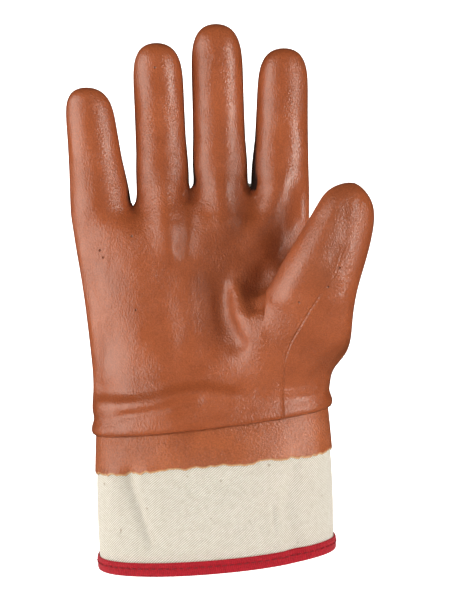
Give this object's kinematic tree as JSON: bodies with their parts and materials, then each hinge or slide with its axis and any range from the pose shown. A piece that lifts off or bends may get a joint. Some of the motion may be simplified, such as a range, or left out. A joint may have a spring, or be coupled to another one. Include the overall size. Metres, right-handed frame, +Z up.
{
  "type": "work glove",
  "caption": "Brown coated insulated work glove for the right hand, with a cream canvas safety cuff bound in red tape.",
  "frame": {"origin": "middle of the cuff's mouth, where the wrist goes in", "axes": "+Z up the fingers, -Y out of the palm, +X towards the thumb side"},
  "size_m": [0.1448, 0.091, 0.2643],
  "materials": {
    "coating": "glossy",
    "canvas": "cream cotton twill",
    "binding": "red woven tape"
  },
  "bodies": {
    "root": {"hand_shell": "coating", "cuff_canvas": "canvas", "cuff_coating": "coating", "cuff_binding": "binding"}
  },
  "joints": []
}
